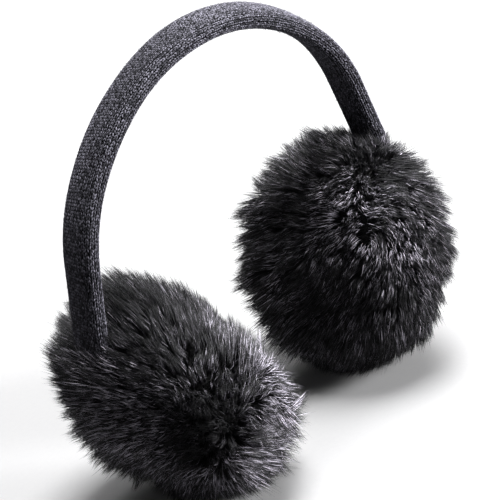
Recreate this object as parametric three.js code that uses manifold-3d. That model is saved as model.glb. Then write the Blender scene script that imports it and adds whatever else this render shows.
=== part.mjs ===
// Fur earmuffs on a knitted headband, in millimetres, +Z up.
// The earmuffs stand on the pressed fur under the two ear pads, at z = 0. The arch of the band
// lies in the XZ plane: +X is one ear, -X the other, and -Y the front.
import * as THREE from "three";
import { mergeVertices } from "three/addons/utils/BufferGeometryUtils.js";
import Module from "manifold-3d";

const wasm = await Module();
wasm.setup();

// ---- Driving dimensions -------------------------------------------------------------------

const GAP = 0.3; // between the band and the fur around its ends

// The headband: a padded knitted tube, bent to an arch whose two ends are tucked into the muffs.
const BAND = {
  width: 25,
  thickness: 10,
  squareness: 2.8, // 2 is an ellipse, and more is a rectangle with rounder corners
  apexHeight: 207, // of the tube's middle line
  twist: THREE.MathUtils.degToRad(15.5), // of each leg about the middle line, both the same way
  twistReach: 103, // from the apex to where the whole twist is reached
  sectionPoints: 16,
  steps: 50,
};

// Half of the band's middle line, from the apex down: arcs by radius and turn, and a straight leg.
const HALF_ARCH = [
  { stretch: "top", radius: 104, turn: THREE.MathUtils.degToRad(49.5) },
  { stretch: "side", radius: 78, turn: THREE.MathUtils.degToRad(28) },
  { stretch: "leg", length: 30 },
  { stretch: "tuck", radius: 26, turn: THREE.MathUtils.degToRad(55) },
];

// One muff: a thick round pad, tipped so that its lower rim is nearer to the head. depth, height
// and thickness are the outside of the fur; the backing is smaller by the pile all over.
const MUFF = {
  depth: 113, // front to back
  height: 119,
  thickness: 73,
  fullness: 2.4, // 2 is an ellipsoid, and more is a fuller edge
  tilt: THREE.MathUtils.degToRad(21),
  fromMiddle: 68,
  centreHeight: 54.3,
  pile: 7.5, // how far the fur stands off the backing
  profilePoints: 13,
  segments: 24,
};

// A lock of fur: a bent cone with an oval root, wider across the lay of the fur than along it.
const LOCK = {
  count: 70, // on one muff
  sink: 4, // how deep its root is in the backing
  halfWidth: 12,
  halfDepth: 9,
  lean: 13, // how far its tip lies along the fur from its root
  belly: 1.1, // how much fuller it is than a straight cone
  uneven: 0.2, // share by which locks differ in height and lean
  sides: 6,
  rings: 2,
};

// Where the fur is pressed flat by the weight on it, up to this height over the ground.
const PRESSED_HEIGHT = 5;

// ---- Solids -------------------------------------------------------------------------------

/** A closed three.js geometry as a manifold solid. */
function solid(geometry) {
  const bare = geometry.clone();
  bare.deleteAttribute("normal");
  bare.deleteAttribute("uv");
  const merged = mergeVertices(bare, 1e-4);
  return new wasm.Manifold(
    new wasm.Mesh({
      numProp: 3,
      vertProperties: new Float32Array(merged.attributes.position.array),
      triVerts: new Uint32Array(merged.index.array),
    }),
  );
}

/** A manifold solid as a three.js geometry. */
function geometryOf(body) {
  const mesh = body.getMesh();
  const geometry = new THREE.BufferGeometry();
  geometry.setAttribute("position", new THREE.BufferAttribute(mesh.vertProperties, 3));
  geometry.setIndex(new THREE.BufferAttribute(mesh.triVerts, 1));
  return geometry;
}

/** The largest of a solid's separate bodies, without the tips that a cut has set free. */
function largestBody(body) {
  return body.decompose().reduce((a, b) => (a.volume() > b.volume() ? a : b));
}

const signedPower = (value, power) => Math.sign(value) * Math.abs(value) ** power;

// ---- Headband -----------------------------------------------------------------------------

/** The middle line of the band, from the -X end over the top to the +X end. */
class ArchCurve extends THREE.Curve {
  constructor(extraLength = 0) {
    super();
    this.stretches = HALF_ARCH.map((row) => ({
      radius: row.radius ?? Infinity,
      length: row.length ?? row.radius * row.turn,
    }));
    this.stretches.at(-1).length += extraLength;
    this.half = this.stretches.reduce((sum, { length }) => sum + length, 0);
  }

  /** The point at t, and how far the band has turned down and twisted there. */
  follow(t) {
    const along = (2 * t - 1) * this.half;
    let rest = Math.abs(along);
    let angle = 0; // of the band below the horizontal
    let x = 0;
    let drop = 0;
    for (const { radius, length } of this.stretches) {
      const taken = Math.min(rest, length);
      const middle = angle + taken / radius / 2;
      const chord = radius === Infinity ? taken : 2 * radius * Math.sin(taken / radius / 2);
      x += chord * Math.cos(middle);
      drop += chord * Math.sin(middle);
      angle += taken / radius;
      rest -= taken;
    }
    const side = Math.sign(along);
    const shareOfTwist = THREE.MathUtils.clamp(along / BAND.twistReach, -1, 1);
    return {
      point: new THREE.Vector3(side * x, 0, BAND.apexHeight - drop),
      outward: new THREE.Vector3(side * Math.sin(angle), 0, Math.cos(angle)),
      twist: BAND.twist * Math.sin((shareOfTwist * Math.PI) / 2),
    };
  }

  getPoint(t, target = new THREE.Vector3()) {
    return target.copy(this.follow(t).point);
  }
}

/** The band's section: a rounded rectangle, grown on every side. */
function bandSection(grow) {
  const points = [];
  for (let i = 0; i < BAND.sectionPoints; i++) {
    const angle = (2 * Math.PI * (i + 0.5)) / BAND.sectionPoints;
    const x = signedPower(Math.cos(angle), 2 / BAND.squareness);
    const y = signedPower(Math.sin(angle), 2 / BAND.squareness);
    points.push(
      new THREE.Vector2(x * (BAND.width / 2 + grow), y * (BAND.thickness / 2 + grow)),
    );
  }
  return new THREE.Shape(points);
}

/** The band, or with a gap the room that it takes up: a straight tube, bent along the arch. */
function bandGeometry(gap = 0) {
  const arch = new ArchCurve(gap);
  const geometry = new THREE.ExtrudeGeometry(bandSection(gap), {
    depth: 1,
    steps: BAND.steps,
    bevelEnabled: false,
  });
  const { position } = geometry.attributes;
  const across = new THREE.Vector3(0, 1, 0);
  for (let i = 0; i < position.count; i++) {
    const { point, outward, twist } = arch.follow(position.getZ(i));
    const section = new THREE.Vector2(position.getX(i), position.getY(i));
    section.rotateAround(new THREE.Vector2(), twist);
    point.addScaledVector(across, section.x).addScaledVector(outward, section.y);
    position.setXYZ(i, point.x, point.y, point.z);
  }
  geometry.computeVertexNormals();
  return geometry;
}

// ---- Muff ---------------------------------------------------------------------------------

/** A full, round pad about the X axis, as thick along X as stated. */
function padGeometry(depth, height, thickness) {
  const profile = [];
  for (let i = 0; i < MUFF.profilePoints; i++) {
    const angle = (Math.PI * i) / (MUFF.profilePoints - 1) - Math.PI / 2;
    const radius = signedPower(Math.max(Math.cos(angle), 0), 2 / MUFF.fullness);
    const along = signedPower(Math.sin(angle), 2 / MUFF.fullness);
    const onAxis = i === 0 || i === MUFF.profilePoints - 1;
    profile.push(new THREE.Vector2(onAxis ? 0 : (radius * depth) / 2, (along * thickness) / 2));
  }
  return new THREE.LatheGeometry(profile, MUFF.segments)
    .rotateZ(-Math.PI / 2)
    .scale(1, 1, height / depth);
}

/** The point of the backing in a direction from its middle, and the outward normal there. */
function backingPoint(direction) {
  const half = new THREE.Vector3(
    MUFF.thickness / 2 - MUFF.pile,
    MUFF.depth / 2 - MUFF.pile,
    MUFF.height / 2 - MUFF.pile,
  );
  const n = MUFF.fullness;
  const scaled = direction.clone().divide(half);
  const axial = Math.abs(scaled.x);
  const radial = Math.hypot(scaled.y, scaled.z);
  const point = direction.clone().multiplyScalar((axial ** n + radial ** n) ** (-1 / n));
  const steep = radial ** (n - 2);
  const normal = new THREE.Vector3(
    signedPower(scaled.x, n - 1) / half.x,
    (steep * scaled.y) / half.y,
    (steep * scaled.z) / half.z,
  ).normalize();
  return { point, normal };
}

/**
 * The way the fur lies at a point: away from the middle of the face, round in a slow swirl, and
 * towards the head where the rim has no outward way along the surface.
 */
function layOfFur(point, normal) {
  const outward = new THREE.Vector3(0, point.y, point.z).multiplyScalar(1 / MUFF.depth);
  const swirl = new THREE.Vector3(0, -point.z, point.y).multiplyScalar(0.35 / MUFF.depth);
  const inwards = new THREE.Vector3(-0.25, 0, -0.1);
  const lay = outward.add(swirl).add(inwards);
  return lay.addScaledVector(normal, -lay.dot(normal)).normalize();
}

/** One lock of fur, rooted in the backing at a point. */
function lockGeometry(point, normal, lay, tall, lean) {
  const across = new THREE.Vector3().crossVectors(normal, lay);
  const rise = tall + LOCK.sink;
  const geometry = new THREE.ConeGeometry(1, 1, LOCK.sides, LOCK.rings).translate(0, 0.5, 0);
  const position = geometry.attributes.position;
  const vertex = new THREE.Vector3();
  for (let i = 0; i < position.count; i++) {
    vertex.fromBufferAttribute(position, i);
    const t = vertex.y;
    const full = 1 + LOCK.belly * t;
    const tangent = new THREE.Vector3()
      .addScaledVector(normal, rise)
      .addScaledVector(lay, 2 * lean * t)
      .normalize();
    const thick = new THREE.Vector3().crossVectors(across, tangent);
    const placed = point
      .clone()
      .addScaledVector(normal, rise * t - LOCK.sink)
      .addScaledVector(lay, lean * t * t)
      .addScaledVector(across, vertex.x * full * LOCK.halfWidth)
      .addScaledVector(thick, vertex.z * full * LOCK.halfDepth);
    position.setXYZ(i, placed.x, placed.y, placed.z);
  }
  return geometry;
}

/** Every lock of one muff, spread evenly over the backing along a golden spiral. */
function lockGeometries() {
  const goldenAngle = Math.PI * (3 - Math.sqrt(5));
  const locks = [];
  for (let i = 0; i < LOCK.count; i++) {
    const axial = 1 - (2 * (i + 0.5)) / LOCK.count;
    const ring = Math.sqrt(1 - axial * axial);
    const angle = i * goldenAngle;
    const direction = new THREE.Vector3(axial, ring * Math.cos(angle), ring * Math.sin(angle));
    const { point, normal } = backingPoint(direction);
    const vary = () => 1 + LOCK.uneven * (2 * THREE.MathUtils.seededRandom() - 1);
    const tall = MUFF.pile * vary();
    const lean = LOCK.lean * vary();
    locks.push(lockGeometry(point, normal, layOfFur(point, normal), tall, lean));
  }
  return locks;
}

const MUFF_PLACE = new THREE.Matrix4()
  .makeRotationY(MUFF.tilt)
  .setPosition(MUFF.fromMiddle, 0, MUFF.centreHeight);

/** The +X muff in its own frame: backing and locks, cut away for the band and the ground. */
function muffGeometry() {
  THREE.MathUtils.seededRandom(21);
  const backing = padGeometry(
    MUFF.depth - 2 * MUFF.pile,
    MUFF.height - 2 * MUFF.pile,
    MUFF.thickness - 2 * MUFF.pile,
  );
  const fur = lockGeometries()
    .map((lock) => solid(lock.applyMatrix4(MUFF_PLACE)))
    .reduce((whole, lock) => whole.add(lock), solid(backing.applyMatrix4(MUFF_PLACE)));

  const reach = 2 * MUFF.height;
  const slab = new THREE.BoxGeometry(reach, reach, PRESSED_HEIGHT)
    .translate(MUFF.fromMiddle, 0, PRESSED_HEIGHT / 2);
  const outside = padGeometry(MUFF.depth, MUFF.height, MUFF.thickness).applyMatrix4(MUFF_PLACE);
  const pressed = solid(outside).intersect(solid(slab));
  const ground = new THREE.BoxGeometry(reach, reach, reach)
    .translate(MUFF.fromMiddle, 0, -reach / 2);

  const cut = fur.add(pressed).subtract(solid(ground)).subtract(solid(bandGeometry(GAP)));
  return geometryOf(largestBody(cut)).applyMatrix4(MUFF_PLACE.clone().invert());
}

// ---- Assembly -----------------------------------------------------------------------------

const knit = new THREE.MeshStandardMaterial({ color: 0x2f2e34, roughness: 0.9, metalness: 0 });
const fur = new THREE.MeshStandardMaterial({ color: 0x17161a, roughness: 0.6, metalness: 0 });

const earmuffs = new THREE.Group();

const headband = new THREE.Mesh(bandGeometry(), knit);
headband.name = "headband";
earmuffs.add(headband);

const muffShape = muffGeometry();
for (const [name, turn] of [
  ["muff_right", 0],
  ["muff_left", Math.PI],
]) {
  const muff = new THREE.Mesh(muffShape, fur);
  muff.name = name;
  muff.position.set(MUFF.fromMiddle, 0, MUFF.centreHeight);
  muff.rotation.y = MUFF.tilt;
  const side = new THREE.Group();
  side.rotation.z = turn;
  side.add(muff);
  earmuffs.add(side);
}

export default earmuffs;
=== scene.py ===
"""Fur earmuffs on a knitted headband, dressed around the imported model. Metres, +Z up.

The arch of the band lies in the XZ plane: +X is one ear, -X the other, and -Y the front. Each muff is
a stuffed pad under a coat of long hairs, and the band is a padded tube under a skin of knitted yarn.
"""

import logging
import math
from dataclasses import dataclass, field
from enum import Enum, IntEnum
from typing import ClassVar

import bmesh
import bpy
import numpy as np
from mathutils import Matrix, Vector


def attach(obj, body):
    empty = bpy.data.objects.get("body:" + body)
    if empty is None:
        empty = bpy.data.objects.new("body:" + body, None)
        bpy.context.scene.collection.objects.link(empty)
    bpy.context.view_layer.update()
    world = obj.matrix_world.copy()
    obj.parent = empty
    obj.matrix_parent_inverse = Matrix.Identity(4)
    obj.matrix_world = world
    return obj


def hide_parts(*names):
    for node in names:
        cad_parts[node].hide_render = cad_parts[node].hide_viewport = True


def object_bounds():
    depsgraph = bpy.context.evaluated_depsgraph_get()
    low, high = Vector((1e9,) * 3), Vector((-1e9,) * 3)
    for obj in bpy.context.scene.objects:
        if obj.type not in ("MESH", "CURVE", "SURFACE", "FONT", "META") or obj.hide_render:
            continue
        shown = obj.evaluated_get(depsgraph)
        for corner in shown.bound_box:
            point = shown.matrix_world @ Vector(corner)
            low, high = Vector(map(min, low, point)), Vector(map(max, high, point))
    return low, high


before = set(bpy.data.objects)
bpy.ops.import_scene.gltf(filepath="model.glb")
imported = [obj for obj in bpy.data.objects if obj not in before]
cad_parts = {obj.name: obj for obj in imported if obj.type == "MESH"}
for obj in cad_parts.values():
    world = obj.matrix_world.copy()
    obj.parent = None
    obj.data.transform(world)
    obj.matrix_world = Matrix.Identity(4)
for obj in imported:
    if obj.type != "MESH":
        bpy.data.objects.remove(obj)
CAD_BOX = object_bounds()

log = logging.getLogger("earmuffs")
NOISE_WAVES = 14
STRAND_SIDES = 3
STRAND_WIDTHS = (0.75, 1.2)  # from the finest strand to the thickest, as shares of the usual


# ---- Shared helpers -----------------------------------------------------------------------


def linear(hex_colour: str) -> tuple[float, float, float, float]:
    """Turn an sRGB hex colour into the linear colour that a shader takes.

    Args:
        hex_colour: six hex digits, such as "2b2a30".

    Returns:
        Red, green, blue and alpha.
    """
    parts = [int(hex_colour[i : i + 2], 16) / 255 for i in (0, 2, 4)]
    return *(c / 12.92 if c <= 0.04045 else ((c + 0.055) / 1.055) ** 2.4 for c in parts), 1.0


def add_node(
    tree: bpy.types.NodeTree, kind: str, inputs: dict | None = None, **settings: object
) -> bpy.types.Node:
    """Add a node to a material, with its settings and links.

    Args:
        tree: the material's node tree.
        kind: the node's type.
        inputs: for each input, by name or number, the value or the output that feeds it.
        settings: the node's own properties.

    Returns:
        The new node.
    """
    node = tree.nodes.new(kind)
    for name, value in settings.items():
        setattr(node, name, value)
    for key, value in (inputs or {}).items():
        if isinstance(value, bpy.types.NodeSocket):
            tree.links.new(value, node.inputs[key])
        else:
            node.inputs[key].default_value = value
    return node


def signed_power(values: np.ndarray, power: float) -> np.ndarray:
    """Raise values to a power, keeping their signs."""
    return np.sign(values) * np.abs(values) ** power


def unit(vectors: np.ndarray) -> np.ndarray:
    """Scale each vector to length one."""
    return vectors / np.maximum(np.linalg.norm(vectors, axis=-1, keepdims=True), 1e-12)


@dataclass(frozen=True)
class Unevenness:
    """A smooth, random unevenness, as a sum of plane waves."""

    strength: float
    size: float  # the usual distance between two bumps

    def at(self, points: np.ndarray, seed: int) -> np.ndarray:
        """Find the unevenness at some places.

        Args:
            points: places, in an array whose last axis is XYZ.
            seed: chooses the field.

        Returns:
            For each point, a value that seldom passes the strength, either way.
        """
        rng = np.random.default_rng(seed)
        way = unit(rng.normal(size=(NOISE_WAVES, 3))) * (2 * math.pi / self.size)
        way = way * rng.uniform(0.6, 1.4, (NOISE_WAVES, 1))
        phase = rng.uniform(0, 2 * math.pi, NOISE_WAVES)
        total = np.sin(points @ way.T + phase).sum(axis=-1)
        return self.strength * (total * math.sqrt(2 / NOISE_WAVES) / 1.6)


def in_scene(name: str, mesh: bpy.types.Mesh) -> bpy.types.Object:
    """Put a mesh into the scene as a smooth-shaded object."""
    mesh.shade_smooth()
    thing = bpy.data.objects.new(name, mesh)
    bpy.context.scene.collection.objects.link(thing)
    return thing


def joined_mesh(
    name: str, vertices: np.ndarray, faces: np.ndarray, strand: np.ndarray
) -> bpy.types.Object:
    """Make one object of many small closed shapes.

    Args:
        name: the object's name.
        vertices: their places, one row each.
        faces: rows of three vertex numbers.
        strand: for each vertex, how pale its strand is, which in fur is its painted highlight, its place
            from root to tip and, in fur, a chance value of its strand, all 0 to 1.

    Returns:
        The new object, in the scene.
    """
    mesh = bpy.data.meshes.new(name)
    mesh.vertices.add(len(vertices))
    mesh.vertices.foreach_set("co", vertices.astype(np.float32).ravel())
    mesh.loops.add(faces.size)
    mesh.loops.foreach_set("vertex_index", faces.astype(np.int32).ravel())
    mesh.polygons.add(len(faces))
    mesh.polygons.foreach_set("loop_start", np.arange(0, faces.size, 3, dtype=np.int32))
    mesh.update(calc_edges=True)
    attribute = mesh.attributes.new("strand", "FLOAT_VECTOR", "POINT")
    attribute.data.foreach_set("vector", strand.astype(np.float32).ravel())
    return in_scene(name, mesh)


def tapered_strands(
    lines: np.ndarray, radius: float, rng: np.random.Generator
) -> tuple[np.ndarray, np.ndarray, np.ndarray]:
    """Turn lines into closed, three-sided strands that taper to a point.

    Args:
        lines: points, by strand and place from root to tip.
        radius: of a usual strand at its root.
        rng: the source of chance.

    Returns:
        The vertices by strand, the faces, and each vertex's place along its strand, 0 to 1.
    """
    count, rows = lines.shape[:2]
    sides = STRAND_SIDES
    t = np.linspace(0, 1, rows)
    way = unit(np.gradient(lines, axis=1))
    across = unit(np.cross(way, unit(rng.normal(size=(count, 1, 3)))))
    beside = np.cross(way, across)
    thick = radius * rng.uniform(*STRAND_WIDTHS, (count, 1, 1, 1))
    taper = ((1 - t**4) ** 0.7)[None, :-1, None, None]  # full for most of its length
    angles = (np.arange(sides) * (2 * math.pi / sides))[None, None, :, None]
    ring = across[:, :-1, None] * np.cos(angles) + beside[:, :-1, None] * np.sin(angles)
    rings = lines[:, :-1, None] + ring * taper * thick
    vertices = np.concatenate([rings.reshape(count, -1, 3), lines[:, -1:]], axis=1)
    faces = [(0, 2, 1)]
    last = sides * (rows - 2)
    for lower in range(0, last, sides):
        for i in range(sides):
            this = lower + i
            other = lower + (i + 1) % sides
            faces += [(this, other, other + sides), (this, other + sides, this + sides)]
    tip = sides * (rows - 1)
    faces += [(last + i, last + (i + 1) % sides, tip) for i in range(sides)]
    starts = np.arange(count)[:, None, None] * (tip + 1)
    place = np.append(np.repeat(t[:-1], sides), 1.0)
    return vertices, (np.array(faces)[None] + starts).reshape(-1, 3), place


def object_from(name: str, shape: bmesh.types.BMesh) -> bpy.types.Object:
    """Put a finished bmesh into the scene as a smooth-shaded object.

    Args:
        name: the object's name.
        shape: the bmesh, which is freed.

    Returns:
        The new object.
    """
    bmesh.ops.recalc_face_normals(shape, faces=shape.faces)
    mesh = bpy.data.meshes.new(name)
    shape.to_mesh(mesh)
    shape.free()
    return in_scene(name, mesh)


# ---- Finishes -----------------------------------------------------------------------------


@dataclass(frozen=True)
class Finish:
    """A finish of the earmuffs or the studio: one shader, fed by the patterns of its own class."""

    name: ClassVar[str]

    def shader_inputs(self, tree: bpy.types.NodeTree) -> dict:
        """Add the finish's patterns, and give what feeds its shader."""
        raise NotImplementedError

    def material(self) -> bpy.types.Material:
        """Build the material.

        Returns:
            The material, under the finish's plain name.
        """
        material = bpy.data.materials.new(self.name)
        material.use_nodes = True
        tree = material.node_tree
        tree.nodes.clear()
        shader = add_node(tree, "ShaderNodeBsdfPrincipled", self.shader_inputs(tree))
        add_node(tree, "ShaderNodeOutputMaterial", {"Surface": shader.outputs["BSDF"]})
        return material


@dataclass(frozen=True)
class AcrylicYarn(Finish):
    """Brushed acrylic knitting yarn: a matt, hairy thread, heathered grey on charcoal."""

    name: ClassVar[str] = "acrylic_yarn"
    shade: str = "0b0b0f"
    heather: str = "7e7c88"
    fibre: float = 0.00035  # drawn coarser than the 0.02 mm fibre, so that it shows
    worn_area: float = 1 / 90  # 11 mm, across an area a little paler or darker than the rest

    def shader_inputs(self, tree: bpy.types.NodeTree) -> dict:
        """Add the yarn's patterns, and give what feeds its shader."""
        strand = add_node(tree, "ShaderNodeAttribute", attribute_name="strand")
        parts = add_node(tree, "ShaderNodeSeparateXYZ", {0: strand.outputs["Vector"]})
        place = add_node(tree, "ShaderNodeTexCoord")
        fluff = add_node(
            tree,
            "ShaderNodeTexNoise",
            {
                "Vector": place.outputs["Object"],
                "Scale": 1 / self.fibre / 2,
                "Detail": 4.0,
                "Roughness": 0.7,
            },
        )
        worn = add_node(
            tree,
            "ShaderNodeTexNoise",
            {"Vector": place.outputs["Object"], "Scale": 1 / self.worn_area, "Detail": 3.0},
        )
        worn = add_node(
            tree, "ShaderNodeMapRange", {"Value": worn.outputs["Fac"], "To Min": 0.35, "To Max": 0.65}
        )
        # Dyed fibres of more than one grey are spun together, so some stitches are much paler.
        speckle = add_node(
            tree,
            "ShaderNodeMapRange",
            {"Value": fluff.outputs["Fac"], "From Min": 0.32, "From Max": 0.56},
            interpolation_type="SMOOTHSTEP",
        )
        # Each leg of a stitch dives into the fabric at both ends, and painted shade darkens those ends,
        # so only its middle is pale.
        off_middle = add_node(
            tree, "ShaderNodeMath", {0: parts.outputs["Y"], 1: 0.5}, operation="SUBTRACT"
        )
        off_middle = add_node(tree, "ShaderNodeMath", {0: off_middle.outputs[0]}, operation="ABSOLUTE")
        shown = add_node(
            tree,
            "ShaderNodeMapRange",
            {"Value": off_middle.outputs[0], "From Min": 0.36, "From Max": 0.12},
            interpolation_type="SMOOTHSTEP",
        )
        tone = parts.outputs["X"]
        for share in (speckle, shown, worn):
            product = add_node(
                tree, "ShaderNodeMath", {0: tone, 1: share.outputs[0]}, operation="MULTIPLY"
            )
            tone = product.outputs[0]
        colour = add_node(
            tree,
            "ShaderNodeMix",
            {"Factor": tone, 6: linear(self.shade), 7: linear(self.heather)},
            data_type="RGBA",
        )
        bump = add_node(
            tree,
            "ShaderNodeBump",
            {"Height": fluff.outputs["Fac"], "Strength": 0.7, "Distance": self.fibre},
        )
        return {
            "Base Color": colour.outputs[2],
            "Roughness": 0.78,
            "IOR": 1.5,
            "Specular IOR Level": 0.1,  # brushed fibres scatter the light, with no gloss left
            "Sheen Weight": 0.05,
            "Sheen Roughness": 0.35,
            "Sheen Tint": linear("b9bac6"),
            "Normal": bump.outputs["Normal"],
        }


@dataclass(frozen=True)
class KnitGround(Finish):
    """The depth between the stitches: the same yarn inside the fabric, matt, its dark colour painted
    shade.
    """

    name: ClassVar[str] = "knit_ground"
    # Both colours are painted shade, mixed by the grain.
    shade: str = "0b0b0e"
    deepest: str = "040405"
    grain: float = 1 / 1500  # 0.7 mm, of the matted fibres; drawn coarser, so that it shows

    def shader_inputs(self, tree: bpy.types.NodeTree) -> dict:
        """Add the ground's patterns, and give what feeds its shader."""
        place = add_node(tree, "ShaderNodeTexCoord")
        grain = add_node(
            tree,
            "ShaderNodeTexNoise",
            {"Vector": place.outputs["Object"], "Scale": 1 / self.grain, "Detail": 2.0},
        )
        colour = add_node(
            tree,
            "ShaderNodeMix",
            {"Factor": grain.outputs["Fac"], 6: linear(self.deepest), 7: linear(self.shade)},
            data_type="RGBA",
        )
        bump = add_node(
            tree, "ShaderNodeBump", {"Height": grain.outputs["Fac"], "Strength": 0.8, "Distance": 0.0004}
        )
        return {
            "Base Color": colour.outputs[2],
            "Roughness": 0.95,
            "Specular IOR Level": 0.05,  # it lies in the shade between the stitches
            "Normal": bump.outputs["Normal"],
        }


@dataclass(frozen=True)
class FauxFur(Finish):
    """Modacrylic fur: black hairs, the longest of them glossy, with painted highlights where the light
    runs in.
    """

    name: ClassVar[str] = "faux_fur_hair"
    dark: str = "050507"
    # the colour of the painted highlights on the hairs
    pale: str = "b8b3c0"
    matt: float = 0.75  # roughness of the underfur
    glossy: float = 0.24  # roughness of the longest hairs
    gloss_level: float = 0.16  # below a bare surface's 0.5, because the hairs shade one another
    rarity: float = 2.3  # the higher, the fewer hairs carry a painted highlight
    first_glint: float = 0.40  # of the painted highlight, a place along the hair, 0 at the root and 1 at the tip
    last_glint: float = 0.72
    glint_reach: float = 0.22

    def shader_inputs(self, tree: bpy.types.NodeTree) -> dict:
        """Add the hair's patterns, and give what feeds its shader."""
        strand = add_node(tree, "ShaderNodeAttribute", attribute_name="strand")
        parts = add_node(tree, "ShaderNodeSeparateXYZ", {0: strand.outputs["Vector"]})
        rare = add_node(
            tree, "ShaderNodeMath", {0: parts.outputs["X"], 1: self.rarity}, operation="POWER"
        )
        tip = add_node(
            tree,
            "ShaderNodeMix",
            {"Factor": rare.outputs[0], 6: linear(self.dark), 7: linear(self.pale)},
            data_type="RGBA",
        )
        # A painted highlight: the light catches a short length of each hair, at its own place between
        # bend and tip.
        middle = add_node(
            tree,
            "ShaderNodeMapRange",
            {"Value": parts.outputs["Z"], "To Min": self.first_glint, "To Max": self.last_glint},
        )
        away = add_node(
            tree, "ShaderNodeMath", {0: parts.outputs["Y"], 1: middle.outputs[0]}, operation="SUBTRACT"
        )
        away = add_node(tree, "ShaderNodeMath", {0: away.outputs[0]}, operation="ABSOLUTE")
        glint = add_node(
            tree,
            "ShaderNodeMapRange",
            {"Value": away.outputs[0], "From Min": self.glint_reach, "From Max": self.glint_reach / 3},
            interpolation_type="SMOOTHSTEP",
        )
        colour = add_node(
            tree,
            "ShaderNodeMix",
            {"Factor": glint.outputs[0], 6: linear(self.dark), 7: tip.outputs[2]},
            data_type="RGBA",
        )
        gloss = add_node(
            tree,
            "ShaderNodeMix",
            {"Factor": parts.outputs["X"], 2: self.matt, 3: self.glossy},
            data_type="FLOAT",
        )
        return {
            "Base Color": colour.outputs[2],
            "Roughness": gloss.outputs[0],
            "IOR": 1.55,
            "Specular IOR Level": self.gloss_level,
        }


@dataclass(frozen=True)
class FurBacking(Finish):
    """The knitted backing deep under the pile, where next to no light comes."""

    name: ClassVar[str] = "fur_backing"
    shade: str = "050506"
    pile_grain: float = 1 / 900  # 1.1 mm, of the roots of the fur

    def shader_inputs(self, tree: bpy.types.NodeTree) -> dict:
        """Add the backing's patterns, and give what feeds its shader."""
        place = add_node(tree, "ShaderNodeTexCoord")
        # The matted roots break up the black where the coat falls apart.
        pile = add_node(
            tree,
            "ShaderNodeTexNoise",
            {"Vector": place.outputs["Object"], "Scale": 1 / self.pile_grain, "Detail": 3.0},
        )
        bump = add_node(
            tree, "ShaderNodeBump", {"Height": pile.outputs["Fac"], "Strength": 1.0, "Distance": 0.001}
        )
        return {"Base Color": linear(self.shade), "Roughness": 1.0, "Normal": bump.outputs["Normal"]}


@dataclass(frozen=True)
class PaperFloor(Finish):
    """Matt studio background paper, off white and almost even."""

    name: ClassVar[str] = "background_paper"
    pale: str = "6d6d6e"
    paler: str = "717171"
    tooth: float = 0.0025  # drawn coarser than real paper's, so that it shows

    def shader_inputs(self, tree: bpy.types.NodeTree) -> dict:
        """Add the paper's patterns, and give what feeds its shader."""
        place = add_node(tree, "ShaderNodeTexCoord")
        # A faint tooth, so that the floor reads as paper and not as a flat colour.
        tooth = add_node(
            tree,
            "ShaderNodeTexNoise",
            {"Vector": place.outputs["Object"], "Scale": 1 / self.tooth, "Detail": 2.0},
        )
        colour = add_node(
            tree,
            "ShaderNodeMix",
            {"Factor": tooth.outputs["Fac"], 6: linear(self.pale), 7: linear(self.paler)},
            data_type="RGBA",
        )
        return {"Base Color": colour.outputs[2], "Roughness": 0.9}


# ---- Headband -----------------------------------------------------------------------------


@dataclass(frozen=True)
class Stretch:
    """A stretch of the band's middle line: an arc, or a straight line where the radius is infinite."""

    length: float
    radius: float = math.inf


HALF_ARCH = (
    Stretch(length=0.104 * math.radians(49.5), radius=0.104),  # over the crown
    Stretch(length=0.078 * math.radians(28), radius=0.078),  # down the temple
    Stretch(length=0.030),  # the straight leg
    Stretch(length=0.026 * math.radians(55), radius=0.026),  # tucked into the muff
)


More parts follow.
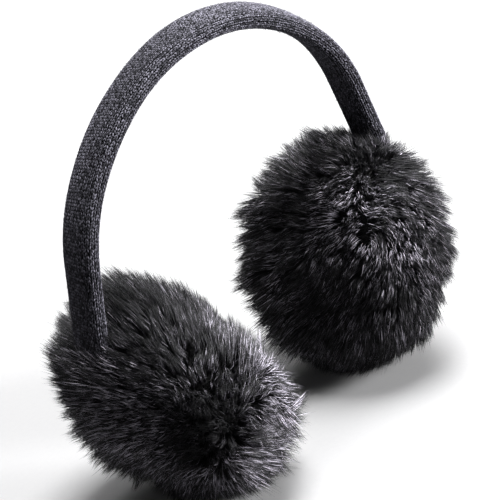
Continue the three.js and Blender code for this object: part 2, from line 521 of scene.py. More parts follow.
@dataclass
class BandRoute:
    """Where the band runs, and the round-cornered section that it has."""

    apex_height: float = 0.207
    half_width: float = 0.0125
    half_thickness: float = 0.005
    squareness: float = 2.8
    twist: float = math.radians(15.5)  # of each leg about the middle line, both the same way
    twist_reach: float = 0.103  # from the apex to where the whole twist is reached
    slack: float = 0.985  # the knit's usual share of the section
    bump: float = 0.012  # how much its padding swells and shrinks, as a share of the section
    # Each wave of the padding: its length for one radian, where it starts, and its weight.
    waves: tuple[tuple[float, float, float], ...] = ((0.017, 0.6, 1.0), (0.0093, 2.1, 0.7))
    leg_start: float = 0.06  # from the apex; the muffs are further along than this
    leg_steps: int = 90
    end_reach: float = 0.003  # how far past the last step of the leg the band's room goes
    least_share: float = 0.15  # of the room: places deeper in it aren't pushed all the way out
    outline_steps: int = 1440
    half_length: float = field(init=False)
    perimeter: float = field(init=False)

    def __post_init__(self) -> None:
        """Measure the half arch, and the way round the section."""
        self.half_length = sum(stretch.length for stretch in HALF_ARCH)
        angles = np.linspace(0, 2 * math.pi, self.outline_steps + 1)
        outline = self._outline(angles)
        steps = np.linalg.norm(np.diff(outline, axis=0), axis=1)
        self._angles = angles
        self._way = np.concatenate(([0.0], np.cumsum(steps)))
        self.perimeter = float(self._way[-1])

    def _outline(self, angles: np.ndarray) -> np.ndarray:
        """The section's outline: across the band, and out from its middle line."""
        across = self.half_width * signed_power(np.cos(angles), 2 / self.squareness)
        out = self.half_thickness * signed_power(np.sin(angles), 2 / self.squareness)
        return np.stack([across, out], axis=-1)

    def follow(self, along: np.ndarray) -> tuple[np.ndarray, np.ndarray, np.ndarray]:
        """Follow the middle line.

        Args:
            along: distances from the apex, positive towards +X.

        Returns:
            The points there, the directions across the band, and those away from the head.
        """
        side = np.where(along < 0, -1.0, 1.0)
        rest = np.abs(along)
        angle = np.zeros_like(rest)
        x = np.zeros_like(rest)
        drop = np.zeros_like(rest)
        for stretch in HALF_ARCH:
            taken = np.minimum(rest, stretch.length)
            half_turn = taken / stretch.radius / 2
            chord = taken * np.sinc(half_turn / math.pi)
            x += chord * np.cos(angle + half_turn)
            drop += chord * np.sin(angle + half_turn)
            angle += 2 * half_turn
            rest = rest - taken
        nothing = np.zeros_like(x)
        points = np.stack([side * x, nothing, self.apex_height - drop], axis=-1)
        up = np.stack([side * np.sin(angle), nothing, np.cos(angle)], axis=-1)
        front_to_back = np.array([0.0, 1.0, 0.0])
        twist = self.twist * np.sin(np.clip(along / self.twist_reach, -1, 1) * math.pi / 2)[..., None]
        across = front_to_back * np.cos(twist) + up * np.sin(twist)
        outward = up * np.cos(twist) - front_to_back * np.sin(twist)
        return points, across, outward

    def surface(self, along: np.ndarray, around: np.ndarray, height: np.ndarray) -> np.ndarray:
        """Find places on or over the band's skin.

        Args:
            along: distances from the apex, positive towards +X.
            around: distances round the section, from the middle of one edge.
            height: distances off the section's outline.

        Returns:
            The places, one row each.
        """
        angles = np.interp(around % self.perimeter, self._way, self._angles)
        section = self._outline(angles)
        power = self.squareness - 1
        half = np.array([self.half_width, self.half_thickness])
        normal = unit(signed_power(section / half, power) / half)
        section = section * self._ease(along)[..., None] + normal * height[..., None]
        points, across, outward = self.follow(along)
        return points + section[..., :1] * across + section[..., 1:] * outward

    def _ease(self, along: np.ndarray) -> np.ndarray:
        """The padding's slight unevenness along the band, as a share of the section."""
        wave = sum(weight * np.sin(along / length + start) for length, start, weight in self.waves)
        return self.slack + self.bump * wave

    def _nearest(self, places: np.ndarray, margin: float, half_of: int) -> tuple[np.ndarray, ...]:
        """Compare places with the band's room.

        Args:
            places: points in the scene, one row each.
            margin: how much larger than the section the room is.
            half_of: 1 for the +X half of the band, -1 for the other.

        Returns:
            The share of the way from the middle line to the room's skin, the nearest point of the
            middle line, and the offset from it within the section and along the band.
        """
        along = half_of * np.linspace(self.leg_start, self.half_length + margin, self.leg_steps)
        points, across, outward = self.follow(along)
        sideways = places[:, None, 0] - points[None, :, 0]
        upwards = places[:, None, 2] - points[None, :, 2]
        nearest = (sideways**2 + upwards**2).argmin(axis=1)
        middle = points[nearest]
        offset = places - middle
        over = (offset * across[nearest]).sum(axis=1, keepdims=True)
        out = (offset * outward[nearest]).sum(axis=1, keepdims=True)
        within = over * across[nearest] + out * outward[nearest]
        past = offset - within
        share = (
            np.abs(over / (self.half_width + margin)) ** self.squareness
            + np.abs(out / (self.half_thickness + margin)) ** self.squareness
        ) ** (1 / self.squareness)
        beyond_end = np.linalg.norm(past, axis=1, keepdims=True) > self.end_reach
        return np.where(beyond_end, math.inf, share), middle, within, past

    def covers(self, places: np.ndarray, half_of: int) -> np.ndarray:
        """Tell which places are inside the band.

        Args:
            places: points in the scene, one row each.
            half_of: 1 for the +X half of the band, -1 for the other.

        Returns:
            True for each place inside.
        """
        return self._nearest(places, 0.0, half_of)[0][:, 0] <= 1

    def push_out(self, places: np.ndarray, margin: float, half_of: int) -> np.ndarray:
        """Move places that are inside the band's room straight out to its skin.

        Args:
            places: points in the scene, in an array whose last axis is XYZ.
            margin: how much larger than the section the room is.
            half_of: 1 for the +X half of the band, -1 for the other.

        Returns:
            The places, in an array of the same shape.
        """
        flat = places.reshape(-1, 3)
        share, middle, within, past = self._nearest(flat, margin, half_of)
        moved = middle + within / np.maximum(share, self.least_share) + past
        return np.where(share < 1, moved, flat).reshape(places.shape)


@dataclass
class Headband:
    """The knitted, padded headband: a tube, dark with painted shade, under a skin of stocking stitches.
    """

    route: BandRoute
    course: float = 0.0015  # between two rows of stitches, along the band
    wales: int = 26  # columns of stitches round the band
    stitch_reach: float = 1.6  # of one leg of a stitch, in courses
    thread: float = 0.00037  # half the width of the yarn
    foot: float = 0.06  # from the middle of a column to the foot of a leg, in columns
    slant: float = 0.36  # how much further out its head is, in columns
    flatness: float = 0.8  # of the yarn, which its neighbours press
    jitter: float = 0.00013  # of each stitch's place
    swells: tuple[float, float] = (0.9, 1.12)  # from the flattest stitch to the fullest
    hidden_end: float = 0.012  # of the band, in the muff, without stitches
    stitch_seed: int = 5
    rings: int = 80
    sides: int = 32
    fibres: int = 3400  # that stand off the brushed yarn
    fibre_reach: float = 0.0013
    fibre_rises: tuple[float, float] = (0.5, 1.5)  # as shares of their reach
    fibre_radius: float = 0.00009  # drawn coarser than the 0.01 mm fibre, so that it shows
    bare_end: float = 0.016  # of the band, in the muff, without loose fibres
    fibre_seed: int = 6

    def build(self) -> list[bpy.types.Object]:
        """Build the band and dress it.

        Returns:
            The band's pieces.
        """
        ground = self._ground()
        ground.data.materials.append(KnitGround().material())
        yarn = AcrylicYarn().material()
        stitches = self._stitches()
        fuzz = self._fuzz()
        stitches.data.materials.append(yarn)
        fuzz.data.materials.append(yarn)
        for piece in (ground, stitches, fuzz):
            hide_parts("headband")
            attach(piece, "root")
        return [ground, stitches, fuzz]

    def _ground(self) -> bpy.types.Object:
        """The padded tube: a straight tube in rings, bent along the route."""
        shape = bmesh.new()
        bmesh.ops.create_cone(
            shape, cap_ends=True, segments=self.sides, radius1=1.0, radius2=1.0, depth=2.0
        )
        lengthwise = [edge for edge in shape.edges if abs(edge.verts[0].co.z - edge.verts[1].co.z) > 1]
        bmesh.ops.subdivide_edges(shape, edges=lengthwise, cuts=self.rings, use_grid_fill=True)
        local = np.array([vertex.co[:] for vertex in shape.verts])
        turn = np.arctan2(local[:, 1], local[:, 0]) / (2 * math.pi)
        along = local[:, 2] * (self.route.half_length - self.thread)
        sunk = np.full(len(local), -self.thread * 2)
        for vertex, place in zip(
            shape.verts, self.route.surface(along, turn * self.route.perimeter, sunk)
        ):
            vertex.co = place
        return object_from("headband_padding", shape)

    def _leg_of_a_stitch(self) -> tuple[np.ndarray, np.ndarray]:
        """One leg of a stitch: a closed, slanted, slightly flattened bead of yarn.

        Returns:
            Its vertices, as distances along the band, across its column and off the skin, and its
            faces.
        """
        shape = bmesh.new()
        bmesh.ops.create_uvsphere(shape, u_segments=4, v_segments=3, radius=1.0)
        bmesh.ops.triangulate(shape, faces=shape.faces)
        local = np.array([vertex.co[:] for vertex in shape.verts])
        faces = np.array([[vertex.index for vertex in face.verts] for face in shape.faces])
        shape.free()
        t = (local[:, 2] + 1) / 2
        wale = self.route.perimeter / self.wales
        reach = self.stitch_reach * self.course
        hump = np.sin(math.pi * t)
        slant = wale * (self.foot + self.slant * t**0.8)
        lift = self.thread * (0.25 + 0.75 * hump**0.8)  # both ends dive into the fabric
        full = np.where(np.abs(local[:, 2]) > 0.99, 0.0, 1.0)  # nothing at its two poles
        width = full * self.thread * (0.75 + 0.35 * hump)
        ring = unit(np.stack([local[:, 0], local[:, 1]], axis=-1) + 1e-9)
        bead = np.stack(
            [
                reach * (t - 0.5),
                slant + ring[:, 0] * width,
                lift + ring[:, 1] * width * self.flatness - self.thread,
            ],
            axis=-1,
        )
        return bead, faces

    def _stitches(self) -> bpy.types.Object:
        """Every stitch of the tube, as one mesh: two mirrored legs for each column and course."""
        rng = np.random.default_rng(self.stitch_seed)
        bead, faces = self._leg_of_a_stitch()
        wale = self.route.perimeter / self.wales
        shown = self.route.half_length - self.hidden_end
        courses = int(2 * shown / self.course)
        row, column = np.meshgrid(np.arange(courses), np.arange(self.wales), indexing="ij")
        row = row.ravel()
        column = column.ravel()
        along = (row + 0.5) * self.course - shown
        legs = []
        for mirror in (1.0, -1.0):
            shift = rng.normal(0, self.jitter, (2, len(row), 1))
            swell = rng.uniform(*self.swells, (len(row), 1))
            lengthwise = along[:, None] + shift[0] + bead[None, :, 0]
            around = column[:, None] * wale + shift[1] + mirror * bead[None, :, 1]
            legs.append(self.route.surface(lengthwise, around, bead[None, :, 2] * swell))
        vertices = np.concatenate([leg.reshape(-1, 3) for leg in legs])
        count = 2 * len(row)
        starts = np.arange(count)[:, None, None] * len(bead)
        flipped = faces[:, ::-1]
        all_faces = np.concatenate(
            [
                (faces[None] + starts[: len(row)]).reshape(-1, 3),
                (flipped[None] + starts[len(row) :]).reshape(-1, 3),
            ]
        )
        strand = np.zeros((count, len(bead), 3))
        strand[:, :, 0] = rng.uniform(0, 1, (count, 1))
        strand[:, :, 1] = (bead[:, 0] / (self.stitch_reach * self.course) + 0.5)[None]
        return joined_mesh("headband_stitches", vertices, all_faces, strand.reshape(-1, 3))

    def _fuzz(self) -> bpy.types.Object:
        """The loose fibre ends that stand off the brushed yarn, as one mesh."""
        rng = np.random.default_rng(self.fibre_seed)
        shown = self.route.half_length - self.bare_end
        along = rng.uniform(-shown, shown, (self.fibres, 1))
        around = rng.uniform(0, self.route.perimeter, (self.fibres, 1))
        t = np.array([[0.0, 1.0]])
        lean = rng.normal(0, self.fibre_reach, (2, self.fibres, 1))
        rise = self.fibre_reach * rng.uniform(*self.fibre_rises, (self.fibres, 1))
        lines = self.route.surface(
            along + lean[0] * t, around + lean[1] * t, rise * t - self.thread / 2
        )
        vertices, faces, place = tapered_strands(lines, self.fibre_radius, rng)
        strand = np.zeros_like(vertices)
        strand[:, :, 0] = rng.uniform(0, 1, (self.fibres, 1))
        strand[:, :, 1] = place[None]
        return joined_mesh("headband_fuzz", vertices.reshape(-1, 3), faces, strand.reshape(-1, 3))


# ---- Muffs --------------------------------------------------------------------------------


class Side(Enum):
    """Which ear a muff is for, by the sign of X."""

    RIGHT = 1
    LEFT = -1


class SeedOf(IntEnum):
    """What is added to a muff's seed for each thing in it that is left to chance."""

    LAY_WAVES = 10
    LAY_EDDIES = 20
    LENGTH_WAVES = 31
    LENGTH_RAGS = 32
    PAINTED_LIGHT_WAVES = 41
    HAIRS = 100
    TUFTS = 200


@dataclass(frozen=True)
class Hair:
    """One kind of hair in the coat."""

    count: int
    rise: float  # how far its tip stands off the backing
    lean: float  # how far its tip lies along the fur
    radius: float
    clumping: float  # share of the way that its tip is drawn to the tip of a usual tuft
    stray: float  # how far its tip strays by itself
    pale: tuple[float, float]  # its share of painted highlight and of gloss, from least to most, 0 to 1
    segments: int = 2


GUARD_HAIR = Hair(
    count=8600,
    rise=0.0102,
    lean=0.0078,
    radius=0.00015,
    clumping=0.62,
    stray=0.0007,
    pale=(0.0, 0.42),
)
# The hairs that carry most of the painted highlights.
SHINING_HAIR = Hair(
    count=5800,
    rise=0.0100,
    lean=0.0080,
    radius=0.00012,
    clumping=0.52,
    stray=0.0009,
    pale=(0.32, 0.88),
)
UNDERFUR = Hair(
    count=4800,
    rise=0.0097,
    lean=0.0066,
    radius=0.00023,
    clumping=0.60,
    stray=0.0006,
    pale=(0.0, 0.05),
)


@dataclass
class Growth:
    """Where some hairs are rooted and how they grow, one row for each."""

    roots: np.ndarray
    normals: np.ndarray  # straight out of the pad
    lay: np.ndarray  # along the fur
    length: np.ndarray  # as shares of the usual

    def picked(self, chosen: np.ndarray) -> "Growth":
        """The same for some of the rows, in a given order."""
        return Growth(
            self.roots[chosen], self.normals[chosen], self.lay[chosen], self.length[chosen]
        )


@dataclass(frozen=True)
class Parting:
    """A place where the fur falls apart and shows its dark depth."""

    towards: tuple[float, float, float]  # from the middle of the pad, in the pad's own axes
    reach: float
    strength: float


@dataclass(frozen=True)
class Patch:
    """A place where the coat is fuller or pressed shorter, with painted highlight or painted shade on its
    hairs.
    """

    towards: tuple[float, float, float]  # from the middle of the pad, in the pad's own axes
    reach: float
    extra: float = 0.0  # how much further the fur stands off the backing
    painted_light: float = 0.0  # how much painted highlight its hairs take, as a share; below nought, painted shade


@dataclass
class Muff:
    """One ear pad: a stuffed pad with a coat of long hairs in tufts."""

    side: Side
    route: BandRoute
    seed: int
    patches: tuple[Patch, ...]
    partings: tuple[Parting, ...] = ()
    half_size: tuple[float, float, float] = (0.0365, 0.0565, 0.0595)  # to the outside of the fur
    fullness: float = 2.4
    tilt: float = math.radians(21)
    from_middle: float = 0.068
    centre_height: float = 0.0543
    pile: float = 0.0085
    pad_lumps: Unevenness = Unevenness(strength=0.0016, size=0.035)
    pad_clearance: float = 0.001  # of the pad, above the ground
    crown: tuple[float, float] = (0.0, 0.0)  # Y and Z of the axis that the fur lies away from
    swirl: float = 0.35
    droop: tuple[float, float, float] = (-0.25, 0.0, -0.1)  # of the whole coat, inwards and down
    lay_waves: Unevenness = Unevenness(strength=0.26, size=0.040)
    lay_eddies: Unevenness = Unevenness(strength=0.27, size=0.014)
    least_lay: float = 0.38  # where the lay is weaker than this, the hairs stand up
    lay_jitter: float = 0.24  # of each hair by itself
    length_waves: Unevenness = Unevenness(strength=0.14, size=0.030)
    length_rags: Unevenness = Unevenness(strength=0.13, size=0.010)
    longest: float = 1.7  # as a share of the usual length
    # Random unevenness of the painted highlight on the hairs.
    painted_light_waves: Unevenness = Unevenness(strength=0.30, size=0.018)
    least_painted_light: float = 0.1  # the least painted highlight, as a share of the usual
    tufts: int = 2200
    tuft_lengths: tuple[float, float] = (0.78, 1.2)
    tuft_pulls: tuple[float, float] = (0.6, 1.5)  # from the loosest tuft to the tightest
    tuft_share: float = 0.5  # of a hair's lay and length that its tuft decides
    hair_lengths: tuple[float, float] = (0.84, 1.06)
    bend: float = 0.35  # how much steeper than its mean slope a hair leaves the backing
    droop_power: float = 1.7  # the higher, the nearer to its tip a hair bends over
    gather_power: float = 1.3  # the higher, the nearer to their tips hairs come together
    stray_power: float = 1.4
    root_depth: float = 0.0015  # of the roots, in the backing
    band_clearance: float = 0.0011
    ground_softness: float = 0.004  # height over which the fur gives way to the ground
    ground_splay: float = 0.7  # how far pressed fur spreads, as a share of what it sinks
    ground_clearance: float = 0.0003
    place: Matrix = field(init=False)

    def __post_init__(self) -> None:
        """Work out where the muff stands."""
        turn = 0.0 if self.side is Side.RIGHT else math.pi
        self.place = (
            Matrix.Rotation(turn, 4, "Z")
            @ Matrix.Translation((self.from_middle, 0, self.centre_height))
            @ Matrix.Rotation(self.tilt, 4, "Y")
        )

    @property
    def name(self) -> str:
        """The CAD node that this muff stands for."""
        return f"muff_{self.side.name.lower()}"

    def build(self) -> list[bpy.types.Object]:
        """Build the muff and dress it.

        Returns:
            The muff's pieces.
        """
        pad, corners = self._pad()
        pad.data.materials.append(FurBacking().material())
        coat = FauxFur().material()
        pieces = [pad]
        for face_name, face_sign in (("outer", 1), ("inner", -1)):
            fur = self._fur(f"{self.name}_fur_{face_name}", corners, face_sign)
            fur.data.materials.append(coat)
            pieces.append(fur)
        for piece in pieces:
            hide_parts(self.name)
            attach(piece, "root")
        return pieces

    def _surface(self, directions: np.ndarray, inset: float) -> tuple[np.ndarray, np.ndarray]:
        """The pad's outside in some directions from its middle.

        Args:
            directions: in the pad's own axes, one row each.
            inset: how far inside the outside of the fur.

        Returns:
            The points, and the directions straight out of the surface there.
        """
        half = np.array(self.half_size) - inset
        power = self.fullness
        scaled = directions / half
        axial = np.abs(scaled[:, 0])
        radial = np.hypot(scaled[:, 1], scaled[:, 2])
        points = directions * ((axial**power + radial**power) ** (-1 / power))[:, None]
        steep = radial ** (power - 2)
        normals = np.stack(
            [
                signed_power(scaled[:, 0], power - 1) / half[0],
                steep * scaled[:, 1] / half[1],
                steep * scaled[:, 2] / half[2],
            ],
            axis=-1,
        )
        return points, unit(normals)

    def _pad(self) -> tuple[bpy.types.Object, np.ndarray]:
        """The stuffed pad under the fur.

        Returns:
            The pad, and the corners of its triangles in its own axes.
        """
        shape = bmesh.new()
        bmesh.ops.create_icosphere(shape, subdivisions=5, radius=1.0)
        directions = np.array([vertex.co[:] for vertex in shape.verts])
        points, normals = self._surface(directions, self.pile)
        points = points + normals * self.pad_lumps.at(points, self.seed)[:, None]
        for vertex, point in zip(shape.verts, points):
            vertex.co = point
        corners = np.array([[vertex.co[:] for vertex in face.verts] for face in shape.faces])
        bmesh.ops.transform(shape, matrix=self.place, verts=shape.verts)
        for vertex in shape.verts:
            vertex.co.z = max(vertex.co.z, self.pad_clearance)
        return object_from(f"{self.name}_pad", shape), corners

    def _roots(self, corners: np.ndarray, count: int, rng: np.random.Generator) -> np.ndarray:
        """Spread hair roots evenly by chance over triangles.

        Args:
            corners: the triangles' corners.
            count: how many roots.
            rng: the source of chance.

        Returns:
            The roots, in the pad's own axes.
        """
        edge_a = corners[:, 1] - corners[:, 0]
        edge_b = corners[:, 2] - corners[:, 0]
        area = np.linalg.norm(np.cross(edge_a, edge_b), axis=1)
        chosen = rng.choice(len(corners), count, p=area / area.sum())
        shares = rng.uniform(size=(2, count))
        # Places in the other half of the parallelogram are turned back into the triangle.
        shares = np.where(shares.sum(axis=0) > 1, 1 - shares, shares)[..., None]
        return corners[chosen, 0] + shares[0] * edge_a[chosen] + shares[1] * edge_b[chosen]

    def _lay(self, roots: np.ndarray, normals: np.ndarray) -> np.ndarray:
        """The way the fur lies: away from its crown, in a slow swirl, and in eddies."""
        depth = 2 * self.half_size[1]
        y = roots[:, 1] - self.crown[0]
        z = roots[:, 2] - self.crown[1]
        lay = np.stack([0 * y, y - self.swirl * z, z + self.swirl * y], axis=-1) * (2 / depth)
        lay += np.array(self.droop)
        for axis in range(3):
            lay[:, axis] += self.lay_waves.at(roots, self.seed + SeedOf.LAY_WAVES + axis)
            lay[:, axis] += self.lay_eddies.at(roots, self.seed + SeedOf.LAY_EDDIES + axis)
        for parting in self.partings:
            centre, _ = self._surface(np.array([parting.towards], float), self.pile)
            away = roots - centre
            near = np.exp(-((np.linalg.norm(away, axis=1) / parting.reach) ** 2))
            lay += parting.strength * near[:, None] * unit(away)
        lay -= normals * (lay * normals).sum(axis=1, keepdims=True)
        strength = np.linalg.norm(lay, axis=1, keepdims=True)
        return lay / np.maximum(strength, self.least_lay)

    def _near(self, patch: Patch, roots: np.ndarray) -> np.ndarray:
        """How far each root belongs to a patch, 0 to 1."""
        centre, _ = self._surface(np.array([patch.towards], float), self.pile)
        return np.exp(-((np.linalg.norm(roots - centre, axis=1) / patch.reach) ** 2))

    def _length(self, roots: np.ndarray) -> np.ndarray:
        """How long the fur is at each root, as a share of its usual length."""
        share = 1 + self.length_waves.at(roots, self.seed + SeedOf.LENGTH_WAVES)
        share += self.length_rags.at(roots, self.seed + SeedOf.LENGTH_RAGS)
        for patch in self.patches:
            share += self._near(patch, roots) * patch.extra / GUARD_HAIR.rise
        return np.minimum(share, self.longest)

    def _painted_light(self, roots: np.ndarray) -> np.ndarray:
        """How much painted highlight the hair takes at each root, as a share of the usual; less is
        painted shade.
        """
        share = 1 + self.painted_light_waves.at(roots, self.seed + SeedOf.PAINTED_LIGHT_WAVES)
        for patch in self.patches:
            share += self._near(patch, roots) * patch.painted_light
        return np.maximum(share, self.least_painted_light)

    def _normals(self, roots: np.ndarray) -> np.ndarray:
        """The directions straight out of the pad at its roots."""
        return self._surface(roots, self.pile)[1]

    def _curves(self, growth: Growth, kind: Hair, t: np.ndarray) -> np.ndarray:
        """Hairs that stand up from the backing and then bend over with the lay.

        Args:
            growth: where they are rooted and how they grow.
            kind: the kind of hair.
            t: places from root to tip, 0 to 1.

        Returns:
            Points, by hair and place.
        """
        up = ((1 + self.bend) * t - self.bend * t**2)[None, :, None]
        over = (t**self.droop_power)[None, :, None]
        rise = (kind.rise * growth.length)[:, None, None]
        lean = (kind.lean * growth.length)[:, None, None]
        return (
            growth.roots[:, None]
            + growth.normals[:, None] * rise * up
            + growth.lay[:, None] * lean * over
        )

    def _tufts(self, corners: np.ndarray) -> tuple[Growth, np.ndarray]:
        """The middles of the tufts, over the whole pad.

        Args:
            corners: the pad's triangles.

        Returns:
            How a hair in the middle of each tuft grows, and how tight each tuft is.
        """
        rng = np.random.default_rng(self.seed + SeedOf.TUFTS)
        roots = self._roots(corners, self.tufts, rng)
        normals = self._normals(roots)
        length = self._length(roots) * rng.uniform(*self.tuft_lengths, self.tufts)
        tightness = rng.uniform(*self.tuft_pulls, self.tufts)
        return Growth(roots, normals, self._lay(roots, normals), length), tightness

    def _fur(self, name: str, corners: np.ndarray, face_sign: int) -> bpy.types.Object:
        """The hairs of one half of the muff, as one mesh.

        Args:
            name: the object's name.
            corners: the pad's triangles.
            face_sign: 1 for the half away from the head, -1 for the half against it.

        Returns:
            The fur.
        """
        half = corners[corners[:, :, 0].mean(axis=1) * face_sign > 0]
        rng = np.random.default_rng(self.seed + SeedOf.HAIRS + face_sign)
        tufts, tightness = self._tufts(corners)
        own_share = 1 - self.tuft_share
        parts = []
        for kind in (GUARD_HAIR, SHINING_HAIR, UNDERFUR):
            roots = self._roots(half, kind.count, rng)
            gaps = np.linalg.norm(roots[:, None] - tufts.roots[None], axis=2)
            nearest = gaps.argmin(axis=1)
            guide = tufts.picked(nearest)
            normals = self._normals(roots)
            lay = own_share * self._lay(roots, normals) + self.tuft_share * guide.lay
            lay += rng.normal(0, self.lay_jitter, (kind.count, 3))
            length = own_share * self._length(roots) + self.tuft_share * guide.length
            length *= rng.uniform(*self.hair_lengths, kind.count)
            t = np.linspace(0, 1, kind.segments + 1)
            own = self._curves(Growth(roots, normals, lay, length), kind, t)
            pull = (tightness[nearest, None] * kind.clumping * t**self.gather_power)[..., None]
            stray = rng.normal(0, kind.stray, (kind.count, 1, 3))
            stray = stray * (t**self.stray_power)[None, :, None]
            hairs = own + (self._curves(guide, kind, t) - own) * pull + stray
            hairs[:, 0] -= normals * self.root_depth
            parts.append(self._strand_mesh(hairs, kind, rng, self._painted_light(roots)))
        vertices = np.concatenate([part[0] for part in parts])
        starts = np.cumsum([0] + [len(part[0]) for part in parts[:-1]])
        faces = np.concatenate([part[1] + start for part, start in zip(parts, starts)])
        strand = np.concatenate([part[2] for part in parts])
        return joined_mesh(name, vertices, faces, strand)

    def _settle(self, hairs: np.ndarray) -> np.ndarray:
        """Put hairs in the scene, clear of the band and bent over on the ground."""
        matrix = np.array(self.place)
        placed = hairs @ matrix[:3, :3].T + matrix[:3, 3]
        placed = self.route.push_out(placed, self.band_clearance, self.side.value)
        soft = self.ground_softness
        sunk = np.maximum(soft - placed[..., 2], 0)
        away = placed[..., :2] - matrix[:2, 3]
        placed[..., :2] += self.ground_splay * sunk[..., None] * unit(away)
        placed[..., 2] = np.where(sunk > 0, soft * np.exp(-sunk / soft), placed[..., 2])
        placed[..., 2] += self.ground_clearance
        return placed

    def _strand_mesh(
        self, hairs: np.ndarray, kind: Hair, rng: np.random.Generator, painted_light: np.ndarray
    ) -> tuple[np.ndarray, np.ndarray, np.ndarray]:
        """Turn hair lines into strands, and leave out those rooted under the band.

        Args:
            hairs: points, by hair and place from root to tip, in the pad's own axes.
            kind: the kind of hair.
            rng: the source of chance.
            painted_light: how much painted highlight each hair takes, as a share of the usual; less is
                painted shade.

        Returns:
            The vertices, the faces, and for each vertex the values that joined_mesh takes.
        """
        placed = self._settle(hairs)
        free = ~self.route.covers(placed[:, 0], self.side.value)
        vertices, faces, place = tapered_strands(placed[free], kind.radius, rng)
        # Each hair's painted highlight, from its kind and its place on the pad.
        pale = rng.uniform(*kind.pale, free.sum()) * painted_light[free]
        strand = np.zeros_like(vertices)
        strand[:, :, 0] = np.minimum(pale, 1.0)[:, None]
        strand[:, :, 1] = place[None]
        strand[:, :, 2] = rng.uniform(0, 1, (len(strand), 1))
        return vertices.reshape(-1, 3), faces, strand.reshape(-1, 3)


# A patch's shine is painted highlight on its hairs where it is above nought, and painted shade where it
# is below.
LEFT_PATCHES = (
    Patch(towards=(0.14, 0.70, 0.70), reach=0.014, painted_light=-0.3),  # the front, high up, in painted shade
    Patch(towards=(-0.25, 0.83, -0.45), reach=0.036, extra=0.0078, painted_light=1.7),  # the front fringe, with painted highlight
    Patch(towards=(-0.05, 0.70, -0.70), reach=0.016, extra=0.0050),  # under the fringe
    Patch(towards=(-0.64, 0.55, 0.53), reach=0.020, extra=-0.0030, painted_light=-0.2),  # over the fringe, with painted shade
    Patch(towards=(0.66, -0.62, -0.3), reach=0.026, extra=0.0045),  # behind the band, low down
    Patch(towards=(0.40, -0.77, 0.50), reach=0.020, extra=-0.0025, painted_light=-0.3),  # beside the band, with painted shade
    Patch(towards=(-0.45, -0.05, 0.87), reach=0.026, extra=0.0050, painted_light=-0.35),  # on top, with painted shade
    Patch(towards=(0.1, -0.65, 0.75), reach=0.015, extra=0.0045),  # behind the band, high up
    Patch(towards=(0.27, -0.50, 0.82), reach=0.018, painted_light=-0.5),  # beside the band, behind it, in painted shade
    Patch(towards=(0.38, 0.91, 0.02), reach=0.020, extra=-0.0025, painted_light=-1.4),  # the hollow, in deep painted shade
    Patch(towards=(-0.10, 0.30, 0.95), reach=0.024, painted_light=-0.4),  # turned up to the light, with painted shade
    Patch(towards=(0.96, -0.18, 0.20), reach=0.030, painted_light=2.2),  # the outer side, with painted highlight
    Patch(towards=(0.42, 0.05, 0.90), reach=0.013, extra=0.0070, painted_light=0.5),  # over the band's end, with painted highlight
    Patch(towards=(0.1, 0.0, -0.98), reach=0.022, extra=-0.0040),  # pressed by the ground
)
RIGHT_PATCHES = (
    Patch(towards=(0.42, -0.05, 0.90), reach=0.013, extra=0.0060),  # over the band's end
    Patch(towards=(-0.15, 0.4, 0.9), reach=0.020, extra=0.0040),  # on top, to the back
    Patch(towards=(0.33, -0.6, 0.73), reach=0.016, extra=0.0040),  # the front shoulder
    Patch(towards=(-0.34, 0.78, 0.53), reach=0.012, extra=0.0035),  # the back, high up
    Patch(towards=(-0.41, 0.85, -0.3), reach=0.020, extra=0.0045),  # the back, low down
    Patch(towards=(-0.44, 0.3, -0.83), reach=0.020, extra=0.0040),  # the inner side, low down
    Patch(towards=(0.3, -0.85, -0.4), reach=0.022, extra=-0.0010),  # the front, low down
    Patch(towards=(-0.53, -0.48, 0.70), reach=0.015, painted_light=1.7),  # a painted highlight
    Patch(towards=(-0.3, -0.92, 0.26), reach=0.014, painted_light=1.3),  # a painted highlight in a streak
    Patch(towards=(-0.38, -0.25, 0.89), reach=0.013, painted_light=-0.6),  # painted shade of the band
    Patch(towards=(0.0, -0.51, 0.86), reach=0.018, painted_light=-0.4),  # turned up to the light, with painted shade
    Patch(towards=(-0.12, -0.91, 0.39), reach=0.007, extra=-0.0030, painted_light=-0.6),  # a groove beside it, with painted shade
    Patch(towards=(-0.1, 0.0, -0.98), reach=0.022, extra=-0.0040),  # pressed by the ground
)
LEFT_CROWN = (0.044, -0.016)  # Y and Z, in the pad's own axes
RIGHT_CROWN = (-0.012, 0.040)
LEFT_PARTINGS = (Parting(towards=(0.35, 0.60, -0.35), reach=0.014, strength=1.2),)


# ---- Studio -------------------------------------------------------------------------------


@dataclass(frozen=True)
class SoftBox:
    """A soft white area light that looks at the earmuffs."""

    name: str
    place: tuple[float, float, float]
    size: float
    power: float  # watts

    def build(self, look_at: Vector) -> None:
        """Hang the light, turned to a point."""
        data = bpy.data.lights.new(self.name, "AREA")
        data.shape = "SQUARE"
        data.size = self.size
        data.energy = self.power
        lamp = bpy.data.objects.new(self.name, data)
        lamp.location = self.place
        lamp.rotation_euler = (look_at - Vector(self.place)).to_track_quat("-Z", "Y").to_euler()
        bpy.context.scene.collection.objects.link(lamp)


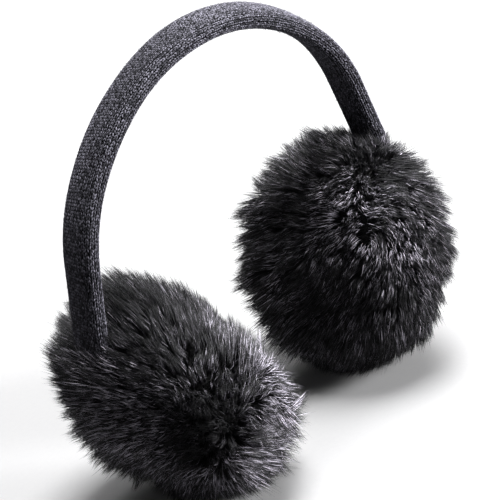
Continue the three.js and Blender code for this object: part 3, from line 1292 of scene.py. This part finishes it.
@dataclass(frozen=True)
class ProductCamera:
    """A long lens that looks down on the earmuffs from the front left, tipped a little."""

    azimuth: float = math.radians(-42)
    elevation: float = math.radians(25.59)
    roll: float = math.radians(15.43)
    distance: float = 1.3409
    focal_length: float = 208.9  # millimetres, on a 36 mm sensor
    aim: tuple[float, float, float] = (-0.0266, -0.0356, 0.1136)

    def build(self) -> None:
        """Set up the camera."""
        data = bpy.data.cameras.new("camera")
        data.sensor_width = 36
        data.lens = self.focal_length
        data.clip_start = 0.05
        data.clip_end = 60
        camera = bpy.data.objects.new("camera", data)
        flat = math.cos(self.elevation)
        back = Vector(
            (
                math.sin(self.azimuth) * flat,
                -math.cos(self.azimuth) * flat,
                math.sin(self.elevation),
            )
        )
        right = Vector((math.cos(self.azimuth), math.sin(self.azimuth), 0))
        up = back.cross(right)
        rolled_right = right * math.cos(self.roll) - up * math.sin(self.roll)
        rolled_up = right * math.sin(self.roll) + up * math.cos(self.roll)
        turn = Matrix((rolled_right, rolled_up, back)).transposed().to_4x4()
        camera.matrix_world = Matrix.Translation(Vector(self.aim) + back * self.distance) @ turn
        bpy.context.scene.collection.objects.link(camera)
        bpy.context.scene.camera = camera


@dataclass(frozen=True)
class Studio:
    """A pale paper floor under soft light."""

    floor_reach: float = 8.0
    ambient: float = 0.06
    lights: tuple[SoftBox, ...] = (
        SoftBox("back_softbox", place=(1.10, 1.10, 0.95), size=0.9, power=40.0),
        SoftBox("top_softbox", place=(0.75, -0.05, 2.35), size=1.3, power=300.0),
        SoftBox("side_softbox", place=(1.05, -1.25, 0.50), size=0.5, power=155.0),
        SoftBox("front_softbox", place=(-1.00, -1.30, 0.80), size=0.5, power=3.0),
    )

    def build(self) -> None:
        """Lay the floor and light the scene."""
        shape = bmesh.new()
        bmesh.ops.create_grid(shape, x_segments=1, y_segments=1, size=self.floor_reach)
        floor = object_from("floor", shape)
        floor.data.materials.append(PaperFloor().material())
        middle = (CAD_BOX[0] + CAD_BOX[1]) / 2
        for light in self.lights:
            light.build(middle)
        world = bpy.data.worlds.new("studio")
        world.use_nodes = True
        world.node_tree.nodes.clear()
        glow = add_node(
            world.node_tree, "ShaderNodeBackground", {"Color": linear("ffffff"), "Strength": self.ambient}
        )
        add_node(world.node_tree, "ShaderNodeOutputWorld", {"Surface": glow.outputs["Background"]})
        bpy.context.scene.world = world
        bpy.context.scene.view_settings.view_transform = "Standard"
        ProductCamera().build()


# ---- The whole ----------------------------------------------------------------------------


def report(pieces: list[bpy.types.Object]) -> None:
    """Log each piece's name and number of triangles."""
    for piece in pieces:
        triangles = sum(len(face.vertices) - 2 for face in piece.data.polygons)
        log.info("%s: %d triangles", piece.name, triangles)


def main() -> None:
    """Build the earmuffs and the studio."""
    logging.basicConfig(level=logging.INFO, format="%(name)s %(message)s")
    Studio().build()
    route = BandRoute()
    report(Headband(route).build())
    report(Muff(Side.RIGHT, route, seed=3, patches=RIGHT_PATCHES, crown=RIGHT_CROWN).build())
    left = Muff(
        Side.LEFT, route, seed=8, patches=LEFT_PATCHES, partings=LEFT_PARTINGS, crown=LEFT_CROWN
    )
    report(left.build())


if __name__ == "__main__":
    main()
